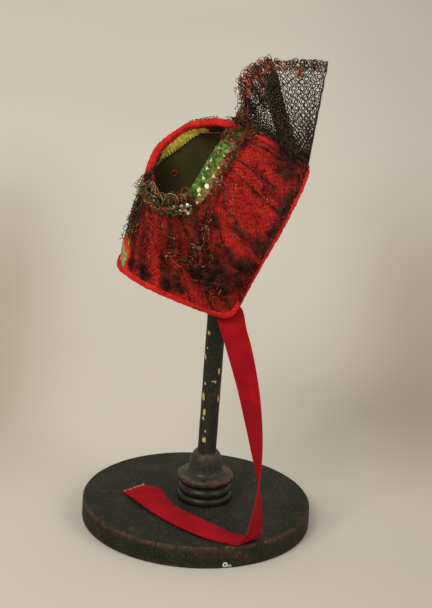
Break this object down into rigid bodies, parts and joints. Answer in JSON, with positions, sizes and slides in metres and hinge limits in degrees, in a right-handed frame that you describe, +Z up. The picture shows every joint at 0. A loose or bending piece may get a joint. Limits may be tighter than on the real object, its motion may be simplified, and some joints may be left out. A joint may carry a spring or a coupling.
{
  "type": "beguine cap on a turned stand",
  "caption": "Child's beguine cap of red wool with a green galloon, black net cover and net fan, one red tie, held by a turned wooden stand.",
  "frame": {"origin": "centre of the stand's underside, on the surface it stands on", "axes": "+Z up, +X the way the cap faces, +Y towards its far (right-hand) side"},
  "size_m": [0.228, 0.228, 0.4933],
  "materials": {
    "painted_wood": "dark green-grey paint, rubbed",
    "worn_wood": "dark paint worn to reddish wood",
    "red_wool": "felted wool cloth",
    "olive_lining": "smooth dark olive cloth",
    "red_binding": "bright red tape",
    "yellow_green_ribbon": "gathered silk ribbon",
    "green_galloon": "woven galloon",
    "black_net": "coarse knotted net",
    "coloured_threads": "looped loose threads",
    "red_tie": "plain woven ribbon"
  },
  "bodies": {
    "root": {"stand_base": "painted_wood", "stand_collar": "worn_wood", "stand_post": "painted_wood", "wool_side_near": "red_wool", "wool_side_far": "red_wool", "back_strip": "yellow_green_ribbon", "lining": "olive_lining", "edge_binding": "red_binding", "crown_binding": "red_binding", "ruche": "yellow_green_ribbon", "galloon_near": "green_galloon", "galloon_far": "green_galloon", "net_side_near": "black_net", "net_side_far": "black_net", "net_fan": "black_net", "border_near": "coloured_threads", "border_far": "coloured_threads", "tie": "red_tie"}
  },
  "joints": []
}
